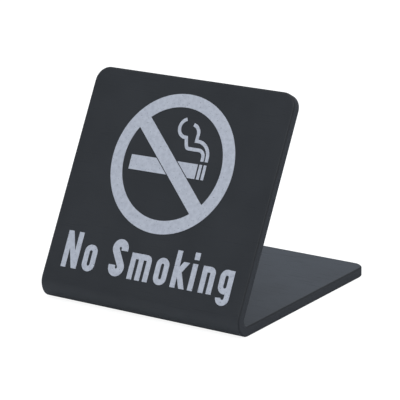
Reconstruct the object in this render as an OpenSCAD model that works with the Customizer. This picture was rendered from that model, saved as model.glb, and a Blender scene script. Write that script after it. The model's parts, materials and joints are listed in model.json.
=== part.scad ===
// Free-standing table sign: one sheet folded to a leaning panel and a flat foot,
// with the no smoking symbol printed on the panel's front.
// The front looks towards -Y, +Z is up, and the origin is under the middle of the sign.
// Lengths are in millimetres and angles in degrees.

/* [Sheet] */
// Width of the sheet, side to side
sheet_w = 70; // [52:1:140]
// Thickness of the sheet
sheet_t = 3; // [2:0.1:5]
// Straight length of the front panel, from the fold to its top edge
panel_len = 65; // [58:1:140]
// Straight length of the foot, from the fold to its back edge
foot_len = 65; // [45:1:140]
// How far the panel leans back from upright
lean = 28.5; // [10:0.5:40]
// Radius inside the fold
fold_r = 2; // [1:0.1:6]
// Radius of the panel's two top corners
top_corner_r = 4.5; // [2:0.1:10]
// Radius of the foot's two back corners
foot_corner_r = 4; // [2:0.1:10]
// Bevel along the cut edges
edge_bevel = 0.3; // [0.1:0.05:0.6]

/* [Print] */
// Thickness of the printed ink
ink_t = 0.1; // [0.05:0.05:0.3]
// Space between the ring and the panel's top edge
print_top = 4.8; // [3:0.1:12]
// Distance of the ring's centre to the right of the panel's middle
print_x = -0.35; // [-2:0.05:2]
// Turn of the print on the panel, anticlockwise
print_turn = 0.6; // [-3:0.1:3]

/* [Ring and slash] */
// Outside diameter of the ring
ring_d = 42; // [41:0.5:48]
// Width of the ring's band
ring_band = 4; // [2.5:0.1:5]
// Width of the slash
slash_w = 4.5; // [3:0.1:6]
// Slope of the slash below the horizontal
slash_slope = 43.5; // [40:0.5:47]
// Distance of the slash's middle line below the ring's centre, square to the slash
slash_drop = 0.7; // [-1:0.05:1]

/* [Cigarette] */
// Height of the cigarette
cig_h = 4.4; // [3:0.1:5.5]
// Length of the cigarette's white part
cig_len = 23.3; // [21:0.1:24.5]
// Distance of the mouth end to the left of the ring's centre
cig_left = 14.5; // [13.5:0.1:15.2]
// Distance of the cigarette's middle line below the ring's centre
cig_drop = 1.2; // [0:0.1:2]
// Bare line on each side of the slash where it crosses the cigarette
cross_gap = 0.3; // [0.2:0.05:0.8]
// Number of bars that draw the glowing tip
tip_bars = 2; // [1:1:2]
// Width of each bar of the tip
tip_bar_w = 0.95; // [0.5:0.05:1.1]
// Space before each bar of the tip
tip_gap = 0.55; // [0.4:0.05:0.9]

/* [Smoke] */
// Width of the smoke lines
smoke_w = 1.05; // [0.4:0.05:1.2]
// Space between the tip and the foot of the smoke
smoke_gap = 0.95; // [0.4:0.05:1.2]
// Height of each of the inner line's two steps
step_h = 3.15; // [3:0.05:3.6]
// Radius of the inner line's first bend
bend_r = 1.95; // [0.8:0.05:2.2]
// Radius of the inner line's second bend
knee_r = 1.1; // [0.8:0.05:1.4]
// Distance of the second bend's centre to the left of the inner line's foot
knee_left = 5.5; // [5.2:0.05:6.2]
// Slant of the inner line between its two steps
knee_slant = 17; // [10:1:25]
// Height of the outer line's step above its foot
ledge_h = 5.7; // [5.5:0.05:6.2]
// Radius of the outer line's shoulder
shoulder_r = 4.5; // [3.5:0.05:4.7]
// Radius of the curl that ends each line
curl_r = 2.75; // [2.4:0.05:2.9]
// Distance of the inner curl's centre to the left of the inner line's foot
inner_curl_left = 7.6; // [7.4:0.05:8.1]
// Arc of the inner curl
inner_curl_arc = 162; // [120:1:175]
// Distance of the outer curl's centre to the left of the inner line's foot
outer_curl_left = 6.2; // [6:0.05:6.6]
// Height of the outer curl's centre above the foot of the smoke
outer_curl_h = 7.65; // [7.4:0.05:8.4]
// Arc of the outer curl
outer_curl_arc = 90; // [70:1:140]
// Angle below the horizontal at which the outer curl starts
outer_curl_start = 10; // [0:1:30]

/* [Hidden] */
$fn = 96;

outer_r = fold_r + sheet_t;
depth = outer_r + foot_len;
fold_share = 0.6;
arc_step = 10;

ring_r = ring_d/2;
ring_z = panel_len - print_top - ring_r;

cig_bottom = -cig_drop - cig_h/2;
cig_end = cig_len - cig_left;
smoke_z = cig_bottom + cig_h + smoke_gap;

// Least bare space between the two smoke lines, and shortest straight piece between two bends
line_space = 0.3;
shortest = 0.1;
line_w = min(smoke_w, tip_gap + tip_bar_w - line_space);

// Left edge of a bar of the tip, counted from 0
function tip_bar_x(i) = cig_end + tip_gap + i*(tip_gap + tip_bar_w);

// A point on a circle, by its angle
function on_circle(c, r, a) = c + r*[cos(a), sin(a)];

// Where a smoke line rises from a bar of the tip, counted from 0
function smoke_foot(i) = [tip_bar_x(i) + tip_bar_w/2, smoke_z];

// Points along an arc, from one angle to another
function arc_points(c, r, from, to) =
    let (n = ceil(abs(to - from)/arc_step))
    [for (i = [0 : n]) on_circle(c, r, from + (to - from)*i/n)];

// Half of the sheet's section: a plate from its middle out to r, its free corners bevelled
module plate_edge(r) {
    polygon([[0, 0], [r - edge_bevel, 0], [r, edge_bevel],
             [r, sheet_t - edge_bevel], [r - edge_bevel, sheet_t], [0, sheet_t]]);
}

// Section across the whole sheet
module sheet_section() {
    plate_edge(sheet_w/2);
    mirror([1, 0]) plate_edge(sheet_w/2);
}

// One flat leg of the sheet along +Y, with two rounded corners at its free end
module leg(length, corner_r) {
    body = length - corner_r;
    flat = sheet_w/2 - corner_r;
    translate([0, body, 0]) rotate([90, 0, 0]) linear_extrude(body) sheet_section();
    translate([-flat, body, 0]) rotate([90, 0, 90]) linear_extrude(2*flat) plate_edge(corner_r);
    translate([flat, body, 0]) rotate_extrude(angle = 90) plate_edge(corner_r);
    translate([-flat, body, 0]) rotate([0, 0, 90]) rotate_extrude(angle = 90) plate_edge(corner_r);
}

// A leg with its share of the fold, drawn below the fold's axis. The fold is the X axis here,
// and the shares of the two legs overlap in the middle of the fold.
module leg_and_fold(length, corner_r) {
    translate([0, 0, -outer_r]) leg(length, corner_r);
    rotate([0, 90, 0]) rotate_extrude(angle = -fold_share*(90 + lean))
        translate([outer_r, 0]) rotate(90) sheet_section();
}

// Places what is drawn in the panel's plane: X across, Y up the panel, Z out from the fold's axis
module on_panel() {
    translate([0, outer_r - depth/2, outer_r]) rotate([90 - lean, 0, 0]) children();
}

module folded_sheet() {
    color([0.15, 0.16, 0.17]) {
        translate([0, outer_r - depth/2, outer_r]) leg_and_fold(foot_len, foot_corner_r);
        on_panel() mirror([0, 0, 1]) leg_and_fold(panel_len, top_corner_r);
    }
}

// The slash without its ends, widened on both sides by a margin and standing proud of the ink
module slash_bar(margin) {
    wide = slash_w + 2*margin;
    rotate([0, 0, -slash_slope]) translate([-ring_d, -slash_drop - wide/2, -ink_t])
        cube([2*ring_d, wide, 3*ink_t]);
}

module ring_and_slash() {
    difference() {
        cylinder(r = ring_r, h = ink_t);
        difference() {
            translate([0, 0, -ink_t]) cylinder(r = ring_r - ring_band, h = 3*ink_t);
            slash_bar(0);
        }
    }
}

module cigarette() {
    difference() {
        translate([-cig_left, cig_bottom, 0]) cube([cig_len, cig_h, ink_t]);
        slash_bar(cross_gap);
    }
    for (i = [0 : tip_bars - 1])
        translate([tip_bar_x(i), cig_bottom, 0]) cube([tip_bar_w, cig_h, ink_t]);
}

// A line of constant width along a path, with mitred corners and square ends
module smoke_line(path) {
    last = len(path) - 1;
    heading = [for (i = [0 : last - 1]) (path[i + 1] - path[i])/norm(path[i + 1] - path[i])];
    side = [for (i = [0 : last])
        let (a = heading[max(i - 1, 0)], b = heading[min(i, last - 1)], sum = a + b)
        line_w*[-sum.y, sum.x]/(sum*sum)];
    linear_extrude(ink_t) polygon(concat([for (i = [0 : last]) path[i] + side[i]],
                                         [for (i = [last : -1 : 0]) path[i] - side[i]]));
}

// From the tip's first bar: up, left along a step, up at a slant, and round into a curl
module inner_smoke() {
    foot = smoke_foot(0);
    step_z = smoke_z + step_h;
    first = [foot.x - bend_r, step_z - bend_r];
    knee = [foot.x - knee_left, step_z + knee_r];
    curl = [foot.x - inner_curl_left, step_z + step_h + curl_r];
    riser = on_circle(knee, knee_r, 180 + knee_slant);
    lean_in = (step_z + step_h - riser.y)*tan(knee_slant);
    corner = [max(riser.x - lean_in, curl.x + shortest), step_z + step_h];
    smoke_line(concat([foot], arc_points(first, bend_r, 0, 90),
                      arc_points(knee, knee_r, 270, 180 + knee_slant), [corner],
                      arc_points(curl, curl_r, 270, 270 - inner_curl_arc)));
}

// From the tip's last bar: up, round a wide shoulder, left to a corner, up and round into a curl
module outer_smoke() {
    foot = smoke_foot(tip_bars - 1);
    ledge_z = smoke_z + ledge_h;
    curl = [smoke_foot(0).x - outer_curl_left, smoke_z + outer_curl_h];
    corner = [on_circle(curl, curl_r, -outer_curl_start).x, ledge_z];
    r = min(shoulder_r, foot.x - corner.x - shortest);
    smoke_line(concat([foot], arc_points([foot.x - r, ledge_z - r], r, 0, 90), [corner],
                      arc_points(curl, curl_r, -outer_curl_start, outer_curl_arc - outer_curl_start)));
}

module printed_symbol() {
    color([0.69, 0.72, 0.78]) on_panel()
        translate([print_x, ring_z, outer_r]) rotate([0, 0, print_turn]) {
            ring_and_slash();
            cigarette();
            inner_smoke();
            outer_smoke();
        }
}

folded_sheet();
printed_symbol();
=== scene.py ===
# A free-standing table sign: satin black acrylic folded from one sheet, with the symbol and its
# legend in silver-grey ink, on a pale floor. The frame is in metres; sizes here are in millimetres.
import json
import math

import bmesh
import bpy
from mathutils import Matrix, Vector

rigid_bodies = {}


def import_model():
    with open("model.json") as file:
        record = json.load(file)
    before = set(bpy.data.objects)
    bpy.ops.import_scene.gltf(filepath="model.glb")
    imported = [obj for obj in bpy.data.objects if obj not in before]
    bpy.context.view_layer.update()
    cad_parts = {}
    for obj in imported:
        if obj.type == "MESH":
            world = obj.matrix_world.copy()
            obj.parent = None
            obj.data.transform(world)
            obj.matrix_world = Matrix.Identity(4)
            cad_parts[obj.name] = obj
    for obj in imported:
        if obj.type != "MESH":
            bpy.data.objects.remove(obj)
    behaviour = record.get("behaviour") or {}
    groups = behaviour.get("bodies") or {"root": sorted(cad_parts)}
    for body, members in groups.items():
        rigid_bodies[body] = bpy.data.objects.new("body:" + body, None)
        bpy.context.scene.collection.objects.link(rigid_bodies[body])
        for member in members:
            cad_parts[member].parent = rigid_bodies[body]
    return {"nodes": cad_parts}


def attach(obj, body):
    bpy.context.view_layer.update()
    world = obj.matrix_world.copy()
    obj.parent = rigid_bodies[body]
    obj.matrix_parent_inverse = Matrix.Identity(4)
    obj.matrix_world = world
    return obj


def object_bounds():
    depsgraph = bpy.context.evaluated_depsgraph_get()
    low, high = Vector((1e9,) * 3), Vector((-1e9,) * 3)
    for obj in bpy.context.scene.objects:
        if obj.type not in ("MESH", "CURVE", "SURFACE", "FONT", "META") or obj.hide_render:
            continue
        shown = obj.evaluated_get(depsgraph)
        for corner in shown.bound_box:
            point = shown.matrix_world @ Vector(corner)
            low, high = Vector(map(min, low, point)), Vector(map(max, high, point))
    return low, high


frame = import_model()
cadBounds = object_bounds()
millimetre = 0.001
print("frame loaded:", ", ".join(sorted(frame["nodes"])))


# Colours and nodes

def linearColour(hexColour):
    channels = [int(hexColour[i:i + 2], 16) / 255 for i in (1, 3, 5)]
    return [c / 12.92 if c <= 0.04045 else ((c + 0.055) / 1.055) ** 2.4 for c in channels] + [1.0]


# Adds a node. A setting is an input, by name or number, or a property; a link goes to an input.
def addNode(tree, kind, settings=None, links=None):
    node = tree.nodes.new(kind)
    for name, value in (settings or {}).items():
        if isinstance(name, int) or name in node.inputs:
            node.inputs[name].default_value = value
        else:
            setattr(node, name, value)
    for name, source in (links or {}).items():
        tree.links.new(source, node.inputs[name])
    return node


def newMaterial(name):
    material = bpy.data.materials.new(name)
    material.use_nodes = True
    material.node_tree.nodes.clear()
    return material, material.node_tree


# A texture's scale that gives features of this size on Object coordinates
def scaleOf(size):
    return 1 / (size * millimetre)


def dress(piece, material):
    piece.data.materials.clear()
    piece.data.materials.append(material)


# The print's plane, from the symbol's own mesh: its origin is the ring's middle on the panel's face,
# X goes across, Y up the panel and Z out of it

def printPlane(symbol):
    widest = max(symbol.data.polygons, key=lambda face: face.area)
    out = widest.normal.copy()
    if out.y > 0:
        out.negate()
    across = Vector((1, 0, 0))
    up = out.cross(across)
    reaches = []
    for axis in (across, up, out):
        along = [vertex.co.dot(axis) for vertex in symbol.data.vertices]
        reaches.append((min(along), max(along)))
    plane = Matrix((across, up, out)).transposed().to_4x4()
    plane.translation = across * sum(reaches[0]) / 2 + up * sum(reaches[1]) / 2 + out * reaches[2][0]
    return plane, reaches[2][1] - reaches[2][0]


inkPlane, inkThickness = printPlane(frame["nodes"]["printed_symbol"])
panelUp = inkPlane.col[1].to_3d()
print("print plane found, ink %.2f mm thick" % (inkThickness / millimetre))


# The legend: two plain words below the ring, in a bold condensed letter drawn with a flat pen

legend = {
    "words": "No Smoking",
    "pen": 1.7,              # width of a stroke
    "broadPen": 2.3,         # width of the letter that is one double curve
    "capital": 11.0,         # height of a capital
    "stalk": 10.9,           # height of a small letter's stalk
    "small": 7.85,           # height of a small letter without a stalk
    "overshoot": 0.1,        # how far a round letter passes the line it stands on
    "letterGap": 1.75,
    "wordGap": 4.95,
    "middle": 0.4,           # middle of the line, to the right of the ring's middle
    "drop": 35.3,            # from the ring's middle down to the line that the letters stand on
    "turn": 0.6,             # turn of the whole print on the panel, in degrees
    "width": {"N": 5.5, "S": 5.4, "o": 4.45, "m": 7.2, "k": 4.3, "i": 1.9, "n": 4.45, "g": 4.5},
    "shoulder": 0.95,        # radius of an arch where it turns down
    "curveTail": 0.6,        # straight end of the double curve
    "dotGap": 1.15,
    "dotHeight": 2.15,
    "armFrom": (1.2, 3.75),  # lower end of the leaning arm
    "armAcross": 3.9,        # and how far across its upper end is
    "legTo": (1.6, 5.6),     # upper end of the leaning leg
    "legAcross": 4.05,       # and how far across its lower end is
    "bowlRise": 0.8,         # height of the bowl above the line in the letter with a hooked tail
    "tailDrop": 2.5,
    "hook": 175,             # turn of the hooked tail, in degrees
    "roundStep": 9,          # degrees between two edges of a round stroke
    "join": 0.01,            # corners of a stroke that are nearer than this are one
    "decimals": 3,           # that a stroke's corners are rounded to, so that shared walls coincide
    "sliver": 0.002,         # faces that are narrower than this go
    "flat": 0.5,             # faces that bend by fewer degrees than this are one
}


# Each letter's strokes. A stroke is a pen, a start, a heading in degrees and moves: a number goes
# straight on, and a pair turns with a radius through an angle, left if it is positive. A leaning
# stroke also has the distance that its upper end is pushed sideways, and both its ends stay level.
def letterShapes():
    pen, broad, over = legend["pen"], legend["broadPen"], legend["overshoot"]
    capital, small, wide = legend["capital"], legend["small"], legend["width"]
    shoulder, half = legend["shoulder"], legend["pen"] / 2

    def stem(x, low, high):
        return {"pen": pen, "start": (x + half, low), "heading": 90, "moves": [high - low]}

    def leaning(low, high):
        push, rise = high[0] - low[0], high[1] - low[1]
        return {"pen": pen * math.hypot(push, rise) / rise, "start": low, "heading": 90,
                "moves": [rise], "push": push}

    def bowl(width, low, high):
        radius = width / 2 - half
        side = high - low - width
        return {"pen": pen, "start": (half, low + width / 2), "heading": 90,
                "moves": [side, (radius, -180), side, (radius, -180)]}

    def arch(x, reach):
        return {"pen": pen, "start": (x + reach - half, 0), "heading": 90,
                "moves": [small - half - shoulder, (shoulder, 90), reach - pen - shoulder]}

    def doubleCurve(width, low, high):
        radius, tail = (width - broad) / 2, legend["curveTail"]
        rise = high - low - broad - 2 * radius
        crossing = math.asin(2 * radius / rise)
        sweep = 180 + math.degrees(crossing)
        return {"pen": broad, "start": (width / 2 + radius, high - width / 2 - tail), "heading": 90,
                "moves": [tail, (radius, sweep), rise * math.cos(crossing), (radius, -sweep), tail]}

    def hookedTail(width):
        radius = width / 2 - half
        return {"pen": pen, "start": (width - half, small), "heading": -90,
                "moves": [small + legend["tailDrop"] - half - radius, (radius, -legend["hook"])]}

    dot = small + legend["dotGap"]
    halfM = (wide["m"] - pen) / 2
    return {
        "N": [stem(0, 0, capital), stem(wide["N"] - pen, 0, capital),
              leaning((wide["N"] - half, 0), (half, capital))],
        "S": [doubleCurve(wide["S"], 0, capital + over)],
        "o": [bowl(wide["o"], -over, small + over)],
        "m": [stem(0, 0, small), arch(0, halfM + pen), arch(halfM - half, halfM + pen + half)],
        "k": [stem(0, 0, legend["stalk"]), leaning(legend["armFrom"], (legend["armAcross"], small)),
              leaning((legend["legAcross"], 0), legend["legTo"])],
        "i": [stem(0, 0, small), stem(0, dot, dot + legend["dotHeight"])],
        "n": [stem(0, 0, small), arch(0, wide["n"])],
        "g": [bowl(wide["g"], legend["bowlRise"], small + over), hookedTail(wide["g"])],
    }


# Draws a stroke in edit mode as a flat ribbon, makes it as thick as the ink and joins it to the rest
def drawStroke(mesh, stroke, shift):
    pen = stroke["pen"]
    angle = math.radians(stroke["heading"])
    ahead = Vector((math.cos(angle), math.sin(angle), 0))
    here = Vector((stroke["start"][0] + shift, stroke["start"][1], 0))
    isFirst = not bmesh.from_edit_mesh(mesh).verts
    bpy.ops.mesh.select_all(action="DESELECT")
    middle = here + ahead * pen / 2
    bpy.ops.mesh.primitive_plane_add(size=pen, location=middle, rotation=(0, 0, angle))
    ribbon = bmesh.from_edit_mesh(mesh)
    for vertex in [vertex for vertex in ribbon.verts if vertex.select]:
        vertex.select = (vertex.co - middle).dot(ahead) > 0
    ribbon.select_flush_mode()
    bmesh.update_edit_mesh(mesh)
    push = Vector((stroke.get("push", 0), 0, 0))
    bpy.ops.transform.translate(value=ahead * (stroke["moves"][0] - pen) + push)
    here += ahead * stroke["moves"][0]
    for move in stroke["moves"][1:]:
        if isinstance(move, tuple):
            radius, sweep = move
            left = Vector((-ahead.y, ahead.x, 0))
            centre = here + left * math.copysign(radius, sweep)
            steps = math.ceil(abs(sweep) / legend["roundStep"])
            # the spin operator counts its angle clockwise
            bpy.ops.mesh.spin(steps=steps, angle=-math.radians(sweep), center=centre, axis=(0, 0, 1))
            turn = Matrix.Rotation(math.radians(sweep), 3, "Z")
            here = centre + turn @ (here - centre)
            ahead = turn @ ahead
        else:
            bpy.ops.mesh.extrude_region_move(TRANSFORM_OT_translate={"value": ahead * move})
            here += ahead * move
    bpy.ops.mesh.select_linked()
    bpy.ops.mesh.remove_doubles(threshold=legend["join"])
    thickness = (0, 0, inkThickness / millimetre)
    bpy.ops.mesh.extrude_region_move(TRANSFORM_OT_translate={"value": thickness})
    bpy.ops.mesh.select_linked()
    bpy.ops.mesh.normals_make_consistent(inside=False)
    for vertex in bmesh.from_edit_mesh(mesh).verts:
        vertex.co = [round(value, legend["decimals"]) for value in vertex.co]
    bmesh.update_edit_mesh(mesh)
    if not isFirst:
        bpy.ops.mesh.intersect_boolean(operation="UNION", solver="EXACT")


def buildLegend():
    bpy.ops.object.select_all(action="DESELECT")
    piece = bpy.data.objects.new("printed_legend", bpy.data.meshes.new("printed_legend"))
    bpy.context.scene.collection.objects.link(piece)
    bpy.context.view_layer.objects.active = piece
    bpy.ops.object.mode_set(mode="EDIT")
    shapes = letterShapes()
    letters = [letter for letter in legend["words"] if letter != " "]
    gaps = [legend["wordGap"] if index == legend["words"].index(" ") - 1 else legend["letterGap"]
            for index in range(len(letters) - 1)]
    length = sum(legend["width"][letter] for letter in letters) + sum(gaps)
    left = legend["middle"] - length / 2
    for letter, gap in zip(letters, gaps + [0]):
        for stroke in shapes[letter]:
            drawStroke(piece.data, stroke, left)
        left += legend["width"][letter] + gap
    bpy.ops.mesh.select_all(action="SELECT")
    bpy.ops.mesh.remove_doubles(threshold=legend["sliver"])
    bpy.ops.mesh.dissolve_degenerate(threshold=legend["sliver"])
    bpy.ops.mesh.dissolve_limited(angle_limit=math.radians(legend["flat"]))
    bpy.ops.object.mode_set(mode="OBJECT")
    place = inkPlane @ Matrix.Rotation(math.radians(legend["turn"]), 4, "Z")
    place = place @ Matrix.Translation((0, -legend["drop"] * millimetre, 0))
    piece.data.transform(place @ Matrix.Scale(millimetre, 4))
    print("legend drawn, %.1f mm long, %d faces" % (length, len(piece.data.polygons)))
    return piece


legendPiece = buildLegend()
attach(legendPiece, "root")


# Black cast acrylic, dyed through and satin on both faces, sawn to size, its corners rounded and its
# edges scraped, then bent over a hot wire: near black with a cool, soft, even sheen that grows at low
# angles, finely grained faces, duller marked edges, and a few hairlines from handling

acrylic = {
    "colour": "#1F2124",
    "roughness": 0.46,
    "ior": 1.49,
    "handled": "#242629",    # the same black under a trace of dust and fingers
    "cloud": 14,             # size of the handled patches
    "cloudRange": {"From Min": 0.35, "From Max": 0.65},
    "cloudRoughness": 0.05,
    "grain": 0.3,            # satin grain, drawn coarser than the real 0.05 mm so that it shows
    "grainDepth": 0.005,
    "relief": 0.6,           # strength of the grain and of the saw marks
    "hairlines": [
        # length, width and turn about X, Y and Z of each set of fine scratches
        {"length": 11, "width": 0.16, "turn": (0.2, 0.0, 0.35)},
        {"length": 7, "width": 0.14, "turn": (0.9, 0.4, -0.9)},
    ],
    "hairlineRange": {"From Min": 0.74, "From Max": 0.82},
    "hairlineRoughness": 0.2,
    "endShare": 0.9,         # share of the box's depth or height past which a leg's end lies
    "edgeRange": {"From Min": 0.8, "From Max": 0.95},
    "edgeColour": "#26282C",
    "edgeRoughness": 0.85,
    "dullRange": {"From Min": 0.3, "From Max": 0.65},    # how the roughness grows over a bevel
    "edgeRound": 0.9,        # how far the scraped and wiped edges look rounded
    "roundSamples": 8,       # rays that feel for such an edge
    "sawMark": 0.35,         # spacing of the marks on a cut edge
    "sawDepth": 0.02,
    "bevelRange": {"From Min": 0.3, "From Max": 0.6},
    # a little darker than the faces: painted shade that tones down the lamp's highlight on the rounded
    # edges
    "bevelPaintedShade": "#1D1F22",
}


# 1 on the cut edges, about 0.7 on their bevels, and 0 on the faces and round the fold
def cutEdgeMask(tree, place, normal):
    low, high = cadBounds
    topEnd = low.z + acrylic["endShare"] * (high.z - low.z)
    backEnd = low.y + acrylic["endShare"] * (high.y - low.y)
    spot = addNode(tree, "ShaderNodeSeparateXYZ", links={0: place}).outputs
    facing = addNode(tree, "ShaderNodeSeparateXYZ", links={0: normal}).outputs
    uphill = addNode(tree, "ShaderNodeVectorMath", {"operation": "DOT_PRODUCT", 1: panelUp},
                     {0: normal}).outputs["Value"]
    atTop = addNode(tree, "ShaderNodeMath", {"operation": "GREATER_THAN", 1: topEnd},
                    {0: spot["Z"]}).outputs[0]
    atBack = addNode(tree, "ShaderNodeMath", {"operation": "GREATER_THAN", 1: backEnd},
                     {0: spot["Y"]}).outputs[0]
    total = addNode(tree, "ShaderNodeMath", {"operation": "MULTIPLY"},
                    {0: facing["X"], 1: facing["X"]}).outputs[0]
    for share, where in ((uphill, atTop), (facing["Y"], atBack)):
        square = addNode(tree, "ShaderNodeMath", {"operation": "MULTIPLY"},
                         {0: share, 1: share}).outputs[0]
        total = addNode(tree, "ShaderNodeMath", {"operation": "MULTIPLY_ADD"},
                        {0: square, 1: where, 2: total}).outputs[0]
    return addNode(tree, "ShaderNodeMath", {"operation": "SQRT"}, {0: total}).outputs[0]


# 1 in the fine scratches and 0 between them
def hairlineMask(tree, place):
    scratched = None
    for lines in acrylic["hairlines"]:
        fine = scaleOf(lines["width"])
        stretch = (scaleOf(lines["length"]), fine, fine)
        turned = addNode(tree, "ShaderNodeMapping", {"Rotation": lines["turn"], "Scale": stretch},
                         {"Vector": place}).outputs[0]
        streak = addNode(tree, "ShaderNodeTexNoise", {"Scale": 1.0, "Detail": 0.0},
                         {"Vector": turned}).outputs["Fac"]
        streak = addNode(tree, "ShaderNodeMapRange", acrylic["hairlineRange"],
                         {"Value": streak}).outputs[0]
        if scratched is None:
            scratched = streak
        else:
            scratched = addNode(tree, "ShaderNodeMath", {"operation": "MAXIMUM"},
                                {0: scratched, 1: streak}).outputs[0]
    return scratched


def acrylicMaterial():
    material, tree = newMaterial("satinAcrylic")
    source = addNode(tree, "ShaderNodeTexCoord").outputs
    place = source["Object"]
    scratched = hairlineMask(tree, place)
    cut = cutEdgeMask(tree, place, source["Normal"])
    edge = addNode(tree, "ShaderNodeMapRange", acrylic["edgeRange"], {"Value": cut}).outputs[0]
    dull = addNode(tree, "ShaderNodeMapRange", acrylic["dullRange"], {"Value": cut}).outputs[0]
    bevel = addNode(tree, "ShaderNodeMapRange", acrylic["bevelRange"], {"Value": cut}).outputs[0]
    bevel = addNode(tree, "ShaderNodeMath", {"operation": "SUBTRACT", "use_clamp": True},
                    {0: bevel, 1: edge}).outputs[0]
    cloud = addNode(tree, "ShaderNodeTexNoise", {"Scale": scaleOf(acrylic["cloud"]), "Detail": 5.0},
                    {"Vector": place}).outputs["Fac"]
    cloud = addNode(tree, "ShaderNodeMapRange", acrylic["cloudRange"], {"Value": cloud}).outputs[0]

    colour = addNode(tree, "ShaderNodeMix", {"data_type": "RGBA", 6: linearColour(acrylic["colour"]),
                     7: linearColour(acrylic["handled"])}, {0: cloud}).outputs[2]
    # the cut edges take their own duller colour, and the bevels a darker one, which is painted shade
    # against the lamp's highlight on them
    for where, shown in ((edge, "edgeColour"), (bevel, "bevelPaintedShade")):
        colour = addNode(tree, "ShaderNodeMix", {"data_type": "RGBA", 7: linearColour(acrylic[shown])},
                         {0: where, 6: colour}).outputs[2]

    rough = addNode(tree, "ShaderNodeMath", {"operation": "MULTIPLY_ADD",
                    1: acrylic["cloudRoughness"], 2: acrylic["roughness"]}, {0: cloud}).outputs[0]
    rough = addNode(tree, "ShaderNodeMath", {"operation": "MULTIPLY_ADD",
                    1: acrylic["hairlineRoughness"]}, {0: scratched, 2: rough}).outputs[0]
    rough = addNode(tree, "ShaderNodeMix", {"data_type": "FLOAT", 3: acrylic["edgeRoughness"]},
                    {0: dull, 2: rough}).outputs[0]

    grain = addNode(tree, "ShaderNodeTexNoise", {"Scale": scaleOf(acrylic["grain"]), "Detail": 2.0},
                    {"Vector": place}).outputs["Fac"]
    marks = addNode(tree, "ShaderNodeTexNoise", {"Scale": scaleOf(acrylic["sawMark"]), "Detail": 1.0},
                    {"Vector": place}).outputs["Fac"]
    marks = addNode(tree, "ShaderNodeMath", {"operation": "MULTIPLY"},
                    {0: marks, 1: edge}).outputs[0]
    surface = addNode(tree, "ShaderNodeBevel", {"samples": acrylic["roundSamples"],
                      "Radius": acrylic["edgeRound"] * millimetre}).outputs[0]
    for height, depth in ((grain, "grainDepth"), (marks, "sawDepth")):
        surface = addNode(tree, "ShaderNodeBump", {"Strength": acrylic["relief"],
                          "Distance": acrylic[depth] * millimetre},
                          {"Height": height, "Normal": surface}).outputs[0]

    shader = addNode(tree, "ShaderNodeBsdfPrincipled", {"IOR": acrylic["ior"]},
                     {"Base Color": colour, "Roughness": rough, "Normal": surface})
    addNode(tree, "ShaderNodeOutputMaterial", links={"Surface": shader.outputs[0]})
    return material


# Screen-printed enamel ink, silver grey, laid in one pass through a mesh: flat and matt, slightly
# uneven in tone where it dried, with a fine grain and a few pinholes that show the black below

ink = {
    "colour": "#BBBEC6",
    "roughness": 0.5,
    "ior": 1.5,
    "thin": "#ADB0B9",       # the ink where it lies thinnest
    "mottle": 1.1,           # size of the uneven patches
    "mottleRange": {"From Min": 0.35, "From Max": 0.7},
    "pinColour": "#6A6F78",
    "pinhole": 0.3,          # drawn coarser than the real 0.1 mm so that it shows
    "pinRange": {"From Min": 0.75, "From Max": 0.82},
    "meshMark": 0.35,        # grain left by the mesh, drawn coarser than the real 0.13 mm
    "meshDepth": 0.006,
    "relief": 0.5,           # strength of that grain
}


def inkMaterial():
    material, tree = newMaterial("screenInk")
    place = addNode(tree, "ShaderNodeTexCoord").outputs["Object"]
    mottle = addNode(tree, "ShaderNodeTexNoise", {"Scale": scaleOf(ink["mottle"]), "Detail": 3.0},
                     {"Vector": place}).outputs["Fac"]
    mottle = addNode(tree, "ShaderNodeMapRange", ink["mottleRange"], {"Value": mottle}).outputs[0]
    pins = addNode(tree, "ShaderNodeTexNoise", {"Scale": scaleOf(ink["pinhole"]), "Detail": 0.0},
                   {"Vector": place}).outputs["Fac"]
    pins = addNode(tree, "ShaderNodeMapRange", ink["pinRange"], {"Value": pins}).outputs[0]
    colour = addNode(tree, "ShaderNodeMix", {"data_type": "RGBA", 6: linearColour(ink["colour"]),
                     7: linearColour(ink["thin"])}, {0: mottle}).outputs[2]
    colour = addNode(tree, "ShaderNodeMix", {"data_type": "RGBA", 7: linearColour(ink["pinColour"])},
                     {0: pins, 6: colour}).outputs[2]
    weave = addNode(tree, "ShaderNodeTexNoise", {"Scale": scaleOf(ink["meshMark"]), "Detail": 1.0},
                    {"Vector": place}).outputs["Fac"]
    surface = addNode(tree, "ShaderNodeBump", {"Strength": ink["relief"],
                      "Distance": ink["meshDepth"] * millimetre}, {"Height": weave}).outputs[0]
    shader = addNode(tree, "ShaderNodeBsdfPrincipled",
                     {"IOR": ink["ior"], "Roughness": ink["roughness"]},
                     {"Base Color": colour, "Normal": surface})
    addNode(tree, "ShaderNodeOutputMaterial", links={"Surface": shader.outputs[0]})
    return material


dress(frame["nodes"]["folded_sheet"], acrylicMaterial())
printMaterial = inkMaterial()
dress(frame["nodes"]["printed_symbol"], printMaterial)
dress(legendPiece, printMaterial)
print("materials made")


# Floor, room and lamps

studio = {
    "floorSize": 6000,
    "floorGlow": 0.9,        # what the camera sees of the floor with no light on it
    "floorShade": 0.25,      # and what the light adds, so that the sign's shadow stays
    "floorBounce": "#D6DBE0",    # what the floor gives back to the sign
    "roomColour": "#EAF3FF",
    "roomStrength": 0.54,
    "lamps": [
        # the last one stands low behind the sign, and the foot gives its light back to the front
        {"name": "topLamp", "colour": "#FFFFFF", "watts": 3.6, "size": 700, "place": (100, 150, 900)},
        {"name": "frontLamp", "colour": "#FFFFFF", "watts": 4.6, "size": 600, "place": (700, -500, 700)},
        {"name": "sheenLamp", "colour": "#CADFFF", "watts": 0.0042, "size": 60, "place": (-40, 120, 45)},
    ],
}


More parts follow.
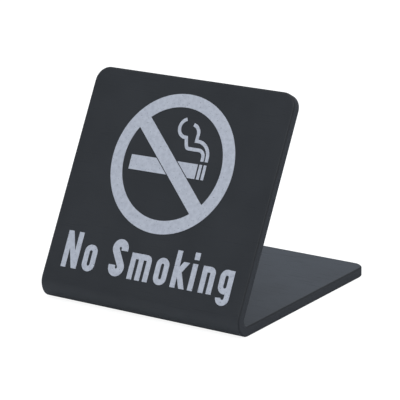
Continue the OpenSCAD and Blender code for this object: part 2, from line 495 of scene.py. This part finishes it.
def buildFloor():
    bpy.ops.object.select_all(action="DESELECT")
    bpy.ops.mesh.primitive_plane_add(size=studio["floorSize"] * millimetre)
    floor = bpy.context.object
    floor.name = "floor"
    material, tree = newMaterial("paleFloor")
    ray = addNode(tree, "ShaderNodeLightPath").outputs
    bounce = addNode(tree, "ShaderNodeBsdfDiffuse", {"Color": linearColour(studio["floorBounce"])})
    shade = addNode(tree, "ShaderNodeBsdfDiffuse", {"Color": [studio["floorShade"]] * 3 + [1]})
    glow = addNode(tree, "ShaderNodeEmission", {"Strength": studio["floorGlow"]})
    shown = addNode(tree, "ShaderNodeAddShader", links={0: shade.outputs[0], 1: glow.outputs[0]})
    floorShader = addNode(tree, "ShaderNodeMixShader", links={0: ray["Is Camera Ray"],
                          1: bounce.outputs[0], 2: shown.outputs[0]})
    addNode(tree, "ShaderNodeOutputMaterial", links={"Surface": floorShader.outputs[0]})
    dress(floor, material)


def buildRoom():
    world = bpy.data.worlds.new("room")
    bpy.context.scene.world = world
    world.use_nodes = True
    tree = world.node_tree
    tree.nodes.clear()
    ray = addNode(tree, "ShaderNodeLightPath").outputs
    light = addNode(tree, "ShaderNodeBackground", {"Color": linearColour(studio["roomColour"]),
                    "Strength": studio["roomStrength"]})
    white = addNode(tree, "ShaderNodeBackground", {"Color": (1, 1, 1, 1), "Strength": 1.0})
    roomShader = addNode(tree, "ShaderNodeMixShader", links={0: ray["Is Camera Ray"],
                         1: light.outputs[0], 2: white.outputs[0]})
    addNode(tree, "ShaderNodeOutputWorld", links={"Surface": roomShader.outputs[0]})


def buildLamps():
    for settings in studio["lamps"]:
        data = bpy.data.lights.new(settings["name"], "AREA")
        data.color = linearColour(settings["colour"])[:3]
        data.energy = settings["watts"]
        data.size = settings["size"] * millimetre
        lamp = bpy.data.objects.new(settings["name"], data)
        bpy.context.scene.collection.objects.link(lamp)
        lamp.location = Vector(settings["place"]) * millimetre
        lamp.rotation_euler = (-lamp.location).to_track_quat("-Z", "Y").to_euler()


buildFloor()
buildRoom()
buildLamps()
print("floor, room and lamps made")


# The camera: a long lens, to the right of the sign's front and a little above it

camera = {
    "azimuth": 34.7,         # degrees to the right of the front
    "elevation": 16.62,
    "roll": -1.0,
    "distance": 698.2,
    "aim": (-0.3, -1.9, 27.4),
    "lens": 212.7,
    "sensor": 36,
    "clipStart": 10,
}


def buildCamera():
    azimuth, elevation = math.radians(camera["azimuth"]), math.radians(camera["elevation"])
    back = Vector((math.sin(azimuth) * math.cos(elevation), -math.cos(azimuth) * math.cos(elevation),
                   math.sin(elevation)))
    right = Vector((math.cos(azimuth), math.sin(azimuth), 0))
    view = Matrix((right, back.cross(right), back)).transposed().to_4x4()
    view = view @ Matrix.Rotation(math.radians(camera["roll"]), 4, "Z")
    view.translation = (Vector(camera["aim"]) + back * camera["distance"]) * millimetre
    data = bpy.data.cameras.new("camera")
    data.lens = camera["lens"]
    data.sensor_width = camera["sensor"]
    data.clip_start = camera["clipStart"] * millimetre
    shot = bpy.data.objects.new("camera", data)
    bpy.context.scene.collection.objects.link(shot)
    shot.matrix_world = view
    bpy.context.scene.camera = shot


buildCamera()
bpy.context.scene.view_settings.view_transform = "Standard"
print("camera placed")
